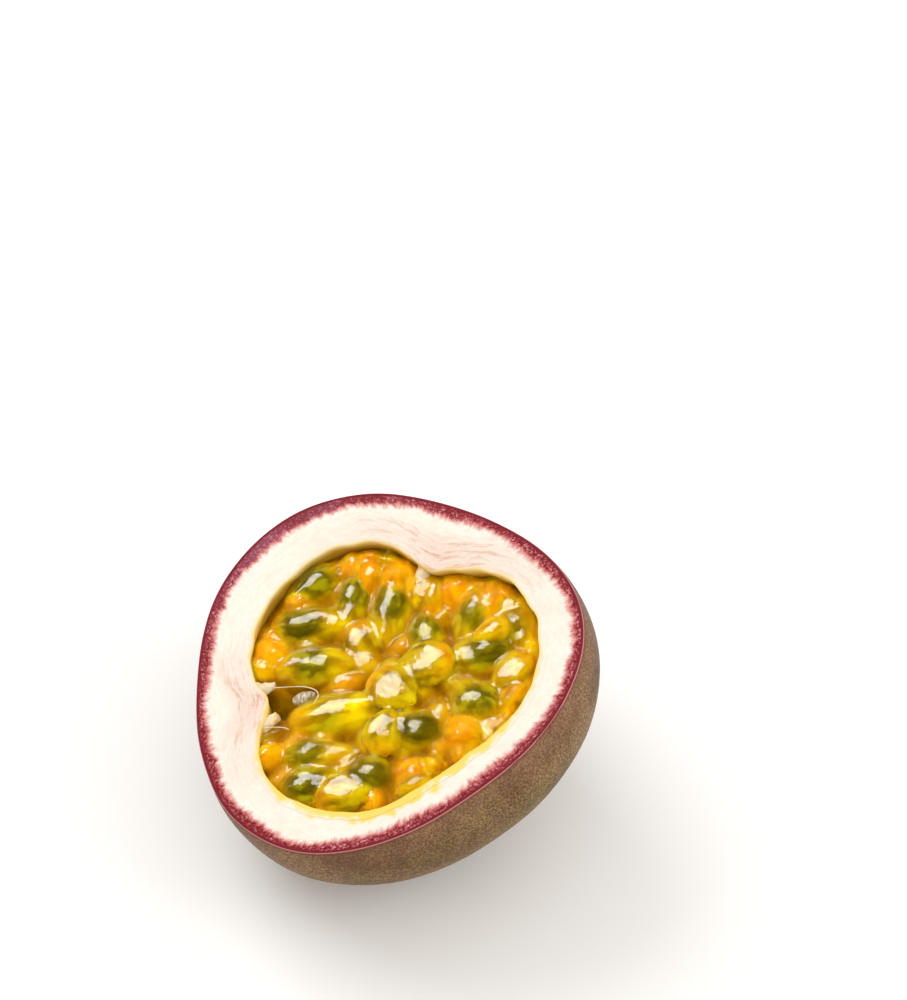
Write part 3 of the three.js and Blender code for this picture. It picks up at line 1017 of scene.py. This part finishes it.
# %% Skin
def skin_material():
    material, read = new_material("speckled_skin")
    place = read("fruit")
    height = read("height")
    cloud = grain(place, 12, detail=3)
    blush = between(grain(place, 17, distortion=0.5), 0.45, 0.65)
    moss = between(grain(place, 10, detail=3, distortion=0.8), 0.48, 0.62)
    speckle = grain(place, 0.32, roughness=0.6)
    blotch = grain(place, 0.9, detail=3, roughness=0.65, distortion=0.4)
    ground = ramp(cloud, (0.36, 0.10, 0.052, 0.018), (0.6, 0.20, 0.122, 0.056))
    ground = blend(times(moss, 0.45), ground, (0.155, 0.112, 0.038))
    ground = blend(times(blush, 0.35), ground, (0.26, 0.135, 0.085))
    # The side that hung in the sun ripened to purple. The other stayed olive.
    ground = blend(times(read("sunny"), 0.8), ground, (0.088, 0.034, 0.033))
    flecks = ramp(speckle, (0.4, 0.55, 0.48, 0.4), (0.5, 1.0, 0.99, 0.92), (0.62, 2.0, 2.0, 1.9))
    colour = blend(1.0, ground, flecks, "MULTIPLY")
    colour = blend(times(between(blotch, 0.52, 0.66), 0.3), colour, (0.10, 0.06, 0.04))
    # Lighter and rosier towards the cut, darker low on the dome: painted shade, with some of the skin's own
    # reddening. At the edge it turns maroon.
    colour = blend(times(between(height, -9.0, -1.0), 0.3), colour, (0.28, 0.13, 0.09))
    colour = blend(times(between(height, -0.9, -0.2), 0.6), colour, (0.16, 0.035, 0.035))
    return shade(material, {
        "Base Color": colour,
        "Normal": relief(speckle, 0.08, 0.8),
        "Roughness": 0.45,
        "Specular IOR Level": 0.07,
    })


# %% [markdown]
# The cut's colours follow two numbers stored on its points: how deep under the skin a point lies, and how
# far from the cavity's wall. The purple is not a line but grains that thin out inwards, so its depth is
# shaken by noise that is drawn out across the band. Near the wall, juice has stained the pith yellow.

# %% Purple edge
def purple_edge(read, turn, pith):
    """The skin's coloured layer over the pith."""
    under = read("under_skin")
    broad = read("broad")
    feather = grain(turn, 0.8, detail=4, roughness=0.7, stretch=(1, 0.4, 1))
    slow = grain(turn, 8, detail=1)
    shaken = times_plus(sums("SUBTRACT", feather, 0.5), 2.6, under)
    shaken = times_plus(sums("SUBTRACT", slow, 0.5), 2.2, shaken)
    shaken = times_plus(broad, -0.8, shaken)
    purple = ramp(
        grain(turn, 0.36, detail=3, roughness=0.6),
        (0.32, 0.14, 0.010, 0.016),
        (0.46, 0.26, 0.026, 0.036),
        (0.57, 0.40, 0.09, 0.10),
        (0.68, 0.70, 0.38, 0.38),
    )
    purple = blend(times(broad, 0.4), purple, (0.30, 0.12, 0.19))
    patch = between(grain(turn, 5), 0.5, 0.66)
    purple = blend(times(patch, 0.5), purple, (0.20, 0.012, 0.010))
    # From the pith outwards: a pink fringe, the purple band, a maroon line and a pale line at the rim,
    # which is the skin's cut edge with a painted highlight on it.
    pink = blend(between(shaken, 1.4, 2.6), (0.60, 0.15, 0.15), pith)
    colour = blend(between(shaken, 1.15, 1.7), purple, pink)
    colour = blend(between(under, 0.3, 0.8), (0.20, 0.018, 0.03), colour)
    return blend(between(under, 0.05, 0.12), (0.52, 0.22, 0.2), colour)


# %% Pith
def pith_colours(read, turn, from_wall):
    """Cream, with pinkish fibres on the ridges and yellow juice near the wall."""
    place = read("fruit")
    juicy = read("juicy")
    fibre = grain(turn, 0.55, detail=3, roughness=0.7, stretch=(0.4, 1, 0.4))
    cream = ramp(fibre, (0.3, 0.82, 0.77, 0.66), (0.6, 0.88, 0.85, 0.77))
    patch = between(grain(place, 6, detail=3), 0.42, 0.62)
    cream = blend(times(patch, 0.22), cream, (0.86, 0.66, 0.54))
    streak = grain(turn, 0.7, detail=4, roughness=0.7, stretch=(0.16, 1, 0.16))
    streak = times_plus(between(streak, 0.48, 0.64), 0.65, 0.3)
    on_ridge = times(read("ridge"), opposite(between(from_wall, 3.5, 7.5)))
    colour = blend(times(on_ridge, streak), cream, (0.70, 0.36, 0.25))
    spread = times_plus(grain(place, 2.2, detail=3), 3.4, -0.6)
    spread = times(spread, times_plus(juicy, 1.4, 0.2))
    wet = opposite(between(sums("SUBTRACT", from_wall, spread), -0.6, 0.7))
    colour = blend(times(wet, 0.9), colour, (0.90, 0.66, 0.08))
    # A fine tear runs along the low side, a little out from the lip.
    drift = times_plus(grain(place, 5, detail=3), 1.6, 0.7)
    away = sums("ABSOLUTE", sums("SUBTRACT", from_wall, drift))
    tear = times(opposite(between(away, 0.04, 0.14)), juicy)
    return blend(times(tear, 0.6), colour, (0.66, 0.42, 0.12))


# %% Cut
def cut_material():
    material, read = new_material("cut_pith")
    turn = read("turn")
    from_wall = read("from_wall")
    depth = times(read("height"), -1)
    colour = purple_edge(read, turn, pith_colours(read, turn, from_wall))
    # The wall of the cavity is wet: yellow at the lip, then darker olive brown deeper down, which is juice
    # stain and painted shade in the cavity.
    wall = blend(between(depth, 0.9, 1.7), (0.76, 0.56, 0.15), (0.60, 0.36, 0.025))
    on_wall = times(sums("LESS_THAN", from_wall, 0.05), between(depth, 0.4, 0.8))
    rough = grain(turn, 0.5, detail=3, roughness=0.7, stretch=(0.5, 1, 0.5))
    return shade(material, {
        "Base Color": blend(on_wall, colour, wall),
        "Normal": relief(rough, 0.1, 0.5),
        "Roughness": 0.7,
        "Specular IOR Level": 0.03,
        **cloudy(0.1, (1.0, 0.6, 0.4), 0.4),
    })


# %% Torn tissue
def torn_material():
    material, read = new_material("torn_tissue")
    place = read("fruit")
    patch = grain(place, 1.4, detail=3)
    colour = ramp(patch, (0.35, 0.80, 0.46, 0.14), (0.5, 0.84, 0.70, 0.44), (0.65, 0.80, 0.62, 0.46))
    return shade(material, {
        "Base Color": colour,
        "Normal": relief(grain(place, 0.4), 0.08, 0.6),
        "Roughness": 0.6,
        "Specular IOR Level": 0.1,
        **cloudy(0.5, (1.0, 0.6, 0.35), 1.5),
    })


# %% [markdown]
# Gel is see-through and tinted, with haze that runs along each sac in threads. Clear things stop the lamps'
# straight rays, which would leave the flesh dark and grainy. So for shadow rays alone the shader is swapped
# for plain tinted transparency, and the lamps shine through. A crisp coat lies over it: that is the juice.

# %% Warmth of a sac
def warmth(read, root_end):
    """1 in the orange roots and in the orange sacs, 0 in the yellow bodies."""
    root = opposite(between(read("along"), 0.04, root_end))
    return sums("MAXIMUM", times(root, 0.9), read("orange"))


def let_lamps_through(material, tint):
    """Swaps the shader for tinted transparency where a lamp's ray asks for its shadow."""
    tree = material.node_tree
    lamp_rays = tree.nodes.new("ShaderNodeLightPath").outputs["Is Shadow Ray"]
    see_through = tree.nodes.new("ShaderNodeBsdfTransparent")
    plug(see_through.inputs["Color"], tint)
    shaders = {0: lamp_rays, 1: tree.nodes["Principled BSDF"].outputs[0], 2: see_through.outputs[0]}
    plug(tree.nodes["Material Output"].inputs["Surface"], added("ShaderNodeMixShader", shaders).outputs[0])


# %% Gel
def gel_material():
    material, read = new_material("clear_gel")
    place = read("fruit")
    in_sac = read("in_sac")
    deep = read("deep")
    over_seed = read("seed_shade")
    warm = warmth(read, 0.36)
    crease_shade = between(deep, 0.8, 1.7)
    colour = blend(warm, (0.97, 0.88, 0.008), (0.97, 0.64, 0.003))
    # Painted shade: darker amber in the creases between sacs and deeper in the pulp.
    colour = blend(crease_shade, colour, (0.60, 0.34, 0.001))
    colour = blend(between(deep, 2.0, 3.0), colour, (0.74, 0.46, 0.001))
    colour = blend(times(over_seed, 0.8), colour, (0.58, 0.355, 0.002))
    threads = grain(in_sac, 1.0, detail=3, roughness=0.55, stretch=(0.25, 1, 1))
    haze = between(sums("ADD", threads, grain(place, 2.4)), 0.92, 1.25)
    haze = times(haze, opposite(over_seed))
    clear = times_plus(warm, -0.2, times_plus(haze, -0.3, 0.95))
    # Juice lies on the clear bodies, and in beads on the orange roots. The creases are duller.
    wrinkle = grain(in_sac, 0.5, stretch=(0.4, 1, 1))
    film = times_plus(between(wrinkle, 0.36, 0.6), 0.35, 0.65)
    bare = opposite(between(grain(place, 1.3, detail=1), 0.53, 0.57))
    dull = sums("MAXIMUM", crease_shade, times(between(warm, 0.2, 0.7), bare))
    let_lamps_through(material, (1.0, 0.96, 0.4))
    return shade(material, {
        "Base Color": colour,
        "Transmission Weight": clear,
        "Normal": relief(wrinkle, 0.06, 0.5),
        "Roughness": 0.3,
        "Specular Tint": (0.10, 0.06, 0.0),
        "IOR": 1.36,
        "Coat Weight": times(opposite(dull), film),
        "Coat Normal": relief(grain(place, 1.4, detail=3), 0.15, 0.6),
        "Coat Roughness": 0.04,
        "Coat IOR": 1.6,
    })


# %% Flesh
def flesh_material():
    material, read = new_material("cloudy_flesh")
    deep = read("deep")
    threads = grain(read("in_sac"), 1.3, detail=3, stretch=(0.3, 1, 1))
    cloud = grain(read("fruit"), 3.2)
    tone = times_plus(threads, 0.6, times(cloud, 0.4))
    golden = ramp(tone, (0.38, 0.30, 0.18, 0.001), (0.5, 0.74, 0.55, 0.001), (0.62, 1.0, 0.86, 0.003))
    amber = ramp(tone, (0.38, 0.62, 0.18, 0.001), (0.5, 0.92, 0.39, 0.001), (0.61, 1.0, 0.64, 0.002))
    colour = blend(warmth(read, 0.42), golden, amber)
    colour = blend(read("dim"), colour, (0.72, 0.64, 0.6), "MULTIPLY")
    # Painted shade: the flesh darkens deeper in the pulp, to dark amber in the hollows.
    colour = blend(between(deep, 1.2, 3.0), colour, (0.52, 0.33, 0.001))
    colour = blend(between(deep, 2.6, 4.2), colour, (0.19, 0.055, 0.003))
    colour = blend(times(read("seed_shade"), 0.9), colour, (0.085, 0.050, 0.003))
    return shade(material, {
        "Base Color": colour,
        "Roughness": 0.45,
        "Specular IOR Level": 0.0,
        **cloudy(0.5, (1.0, 0.5, 0.05), 1.2),
    })


# %% Seeds
def seed_material():
    material, read = new_material("pitted_seed")
    place = read("fruit")
    pits = grain(place, 0.5)
    ribs = grain(place, 0.35, distortion=0.3, stretch=(1.2, 0.3, 1))
    dark = ramp(pits, (0.35, 0.016, 0.010, 0.003), (0.65, 0.065, 0.042, 0.011))
    pale = ramp(ribs, (0.40, 0.26, 0.18, 0.08), (0.56, 0.60, 0.50, 0.33))
    return shade(material, {
        "Base Color": blend(read("bare"), dark, pale),
        "Normal": relief(pits, 0.15, 0.8),
        "Roughness": 0.4,
    })


# %% Give each piece its finish
# Faces of the rind that reach further under the skin than this belong to the cut and the cavity.
SKIN_THICKNESS = 0.02


def finish_with(piece, *materials):
    for material in materials:
        piece.data.materials.append(material)


finish_with(rind, skin_material(), cut_material())
for face in rind.data.polygons:
    face.material_index = int(under_skin[list(face.vertices)].max() > SKIN_THICKNESS)
finish_with(stalks, torn_material())
finish_with(gel, gel_material())
finish_with(flesh, flesh_material())
finish_with(seeds, seed_material())
only(rind)
bpy.ops.object.shade_smooth()
print("finishes:", [material.name for material in bpy.data.materials if material.users])

# %% [markdown]
# ## Set down, and say what each piece is
#
# The pieces are laid on the table and the skin is flattened where it rests. Then each says which solid it
# stands for.

# %% Lay the pieces down
pieces = (rind, stalks, gel, flesh, seeds)
for piece in pieces:
    set_down(piece)

points = points_of(rind)
points[:, 2] = points[:, 2].clip(0)
move_points(rind, points)

# %% The floor
bpy.ops.mesh.primitive_plane_add(size=6)
floor = bpy.context.object
floor.name = "floor"
paper, _ = new_material("white_paper")
finish_with(floor, shade(paper, {"Base Color": (0.96, 0.96, 0.955), "Roughness": 0.6}))

# %% What each piece stands for
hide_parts("rind")
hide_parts("pulp")
for piece in pieces:
    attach(piece, "root")
